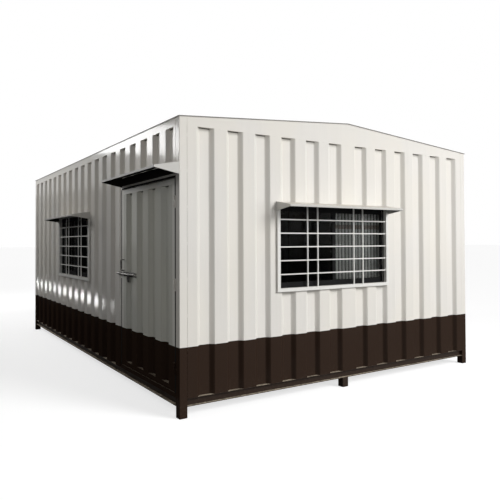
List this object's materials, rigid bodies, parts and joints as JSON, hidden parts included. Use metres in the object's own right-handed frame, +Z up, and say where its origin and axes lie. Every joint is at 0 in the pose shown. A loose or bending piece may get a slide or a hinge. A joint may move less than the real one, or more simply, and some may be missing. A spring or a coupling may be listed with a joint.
{
  "type": "portable cabin",
  "caption": "Welded steel portable cabin on short legs, with ribbed sheet walls, barred windows under hoods, a low gable roof and an outward-opening door with a sliding bolt.",
  "frame": {"origin": "middle of the whole cabin's footprint, hoods and roof lips included, on the ground", "axes": "+Z up; +Y along the cabin away from the end wall with the window; +X across the cabin away from the door wall"},
  "size_m": [4.358, 6.408, 2.899],
  "materials": {
    "cabin_paint": "gloss enamel, off-white above and dark brown below",
    "base_paint": "gloss dark brown enamel",
    "joist_paint": "red-brown primer, unseen from the side",
    "roof_steel": "off-white enamel on steel sheet",
    "trim_paint": "white gloss enamel",
    "board": "faced board, light and satin",
    "floor": "bare floor board",
    "dark_aluminium": "black powder coat",
    "window_glass": "clear glass over a dark room",
    "bolt_steel": "zinc-plated steel, dulled",
    "curtain_cloth": "light grey woven curtain"
  },
  "bodies": {
    "cabin": {"front_left_post": "cabin_paint", "front_right_post": "cabin_paint", "back_left_post": "cabin_paint", "back_right_post": "cabin_paint", "middle_legs": "base_paint", "end_base_rails": "base_paint", "side_base_rails": "base_paint", "floor_joists": "joist_paint", "floor_board": "floor", "ceiling_board": "board", "eave_beams": "cabin_paint", "gable_beams": "cabin_paint", "left_roof_sheet": "roof_steel", "right_roof_sheet": "roof_steel", "end_sheet_left": "cabin_paint", "end_sheet_right": "cabin_paint", "end_sheet_at_window": "cabin_paint", "door_wall_sheet_back": "cabin_paint", "door_wall_sheet_at_window": "cabin_paint", "door_wall_sheet_middle": "cabin_paint", "door_wall_sheet_over_door": "cabin_paint", "right_wall_sheet": "cabin_paint", "back_wall_sheet": "cabin_paint", "end_wall_lining": "board", "door_wall_lining": "board", "right_wall_lining": "board", "back_wall_lining": "board", "end_window_frame": "trim_paint", "end_window_grille": "trim_paint", "end_window_sashes": "dark_aluminium", "end_window_glass": "window_glass", "end_window_canopy": "trim_paint", "end_curtain_rail": "trim_paint", "end_curtain": "curtain_cloth", "side_window_frame": "trim_paint", "side_window_grille": "trim_paint", "side_window_sashes": "dark_aluminium", "side_window_glass": "window_glass", "side_window_canopy": "trim_paint", "door_canopy": "trim_paint", "door_frame": "cabin_paint", "door_hinge_pins": "bolt_steel", "door_bolt_keeper": "bolt_steel"},
    "door": {"door_leaf_frame": "cabin_paint", "door_leaf_sheet": "cabin_paint", "door_hinge_leaves": "bolt_steel", "door_bolt_plate": "bolt_steel", "door_pull": "bolt_steel"},
    "door_bolt": {"door_bolt_bar": "bolt_steel"}
  },
  "joints": [
    {"name": "door_hinge", "type": "hinge", "parent": "cabin", "child": "door", "pos_m": [-1.947, -2.869, 0], "axis": [0, 0, 1], "range_deg": [0, 150]},
    {"name": "door_bolt_slide", "type": "slide", "parent": "door", "child": "door_bolt", "axis": [0, -1, 0], "range_m": [0, 0.11]}
  ]
}
